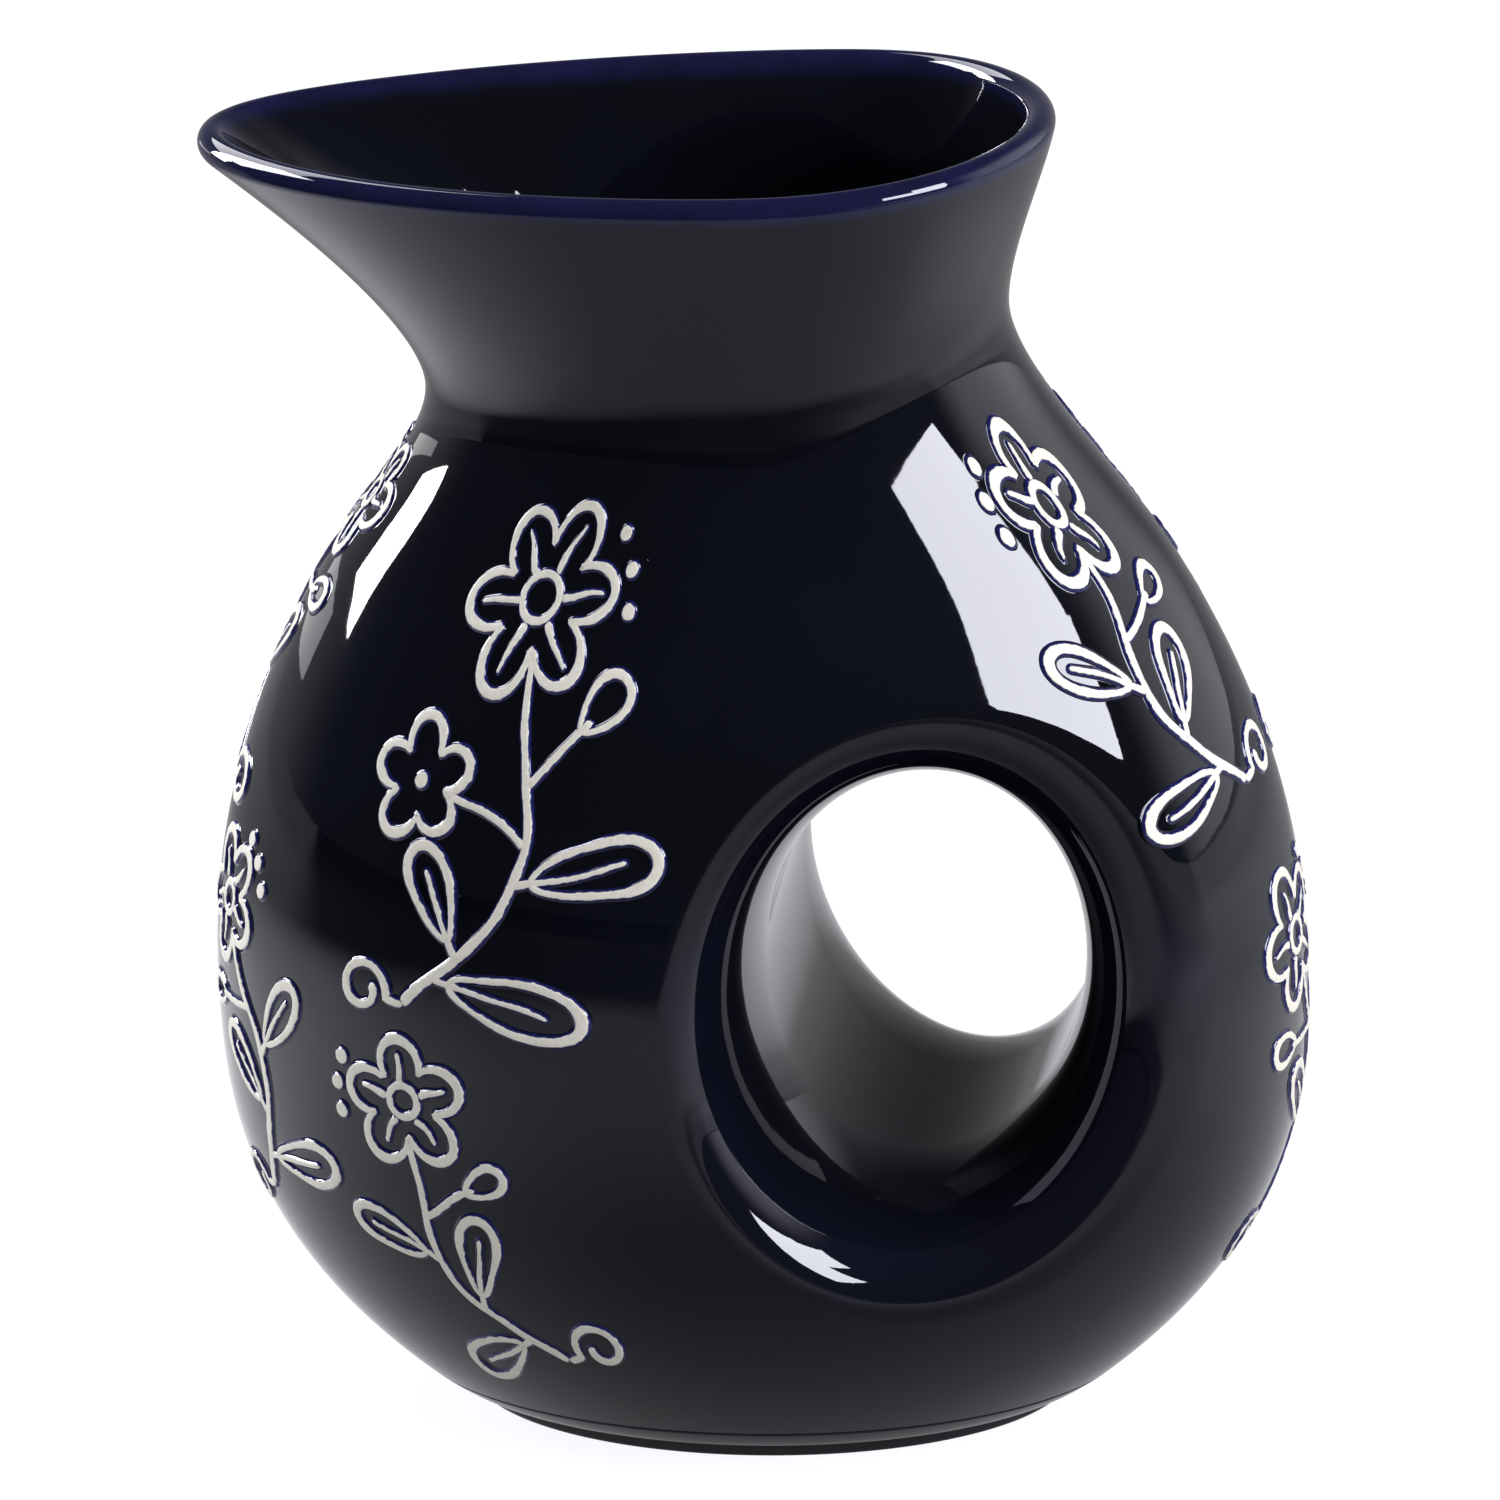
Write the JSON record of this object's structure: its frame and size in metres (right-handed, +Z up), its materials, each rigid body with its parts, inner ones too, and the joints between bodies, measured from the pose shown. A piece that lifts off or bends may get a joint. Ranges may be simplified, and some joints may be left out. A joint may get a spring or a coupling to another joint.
{
  "type": "pitcher with hand hole",
  "caption": "Pear-bellied dark glazed pitcher with a flared pouring spout, a rounded hand hole through the belly in place of a handle, and raised floral line sprays.",
  "frame": {"origin": "centre of the foot, on the surface that the jug stands on", "axes": "+Z up, the spout points to -X, the grip is at +X and the hand hole runs through along Y; -Y is the side seen in the picture"},
  "size_m": [0.1808, 0.1296, 0.2185],
  "materials": {
    "cobalt_glaze": "high gloss",
    "bare_clay": "matte",
    "cream_slip": "satin"
  },
  "bodies": {
    "root": {"belly": "cobalt_glaze", "neck_spout": "cobalt_glaze", "hand_tunnel": "cobalt_glaze", "floor_disc": "cobalt_glaze", "foot_ring": "bare_clay", "spray_front_upper": "cream_slip", "spray_front_lower": "cream_slip", "spray_flank_front": "cream_slip", "spray_spout": "cream_slip", "spray_shoulder_front": "cream_slip", "spray_grip": "cream_slip", "spray_shoulder_back": "cream_slip", "spray_flank_back": "cream_slip", "spray_back_upper": "cream_slip", "spray_back_lower": "cream_slip"}
  },
  "joints": []
}
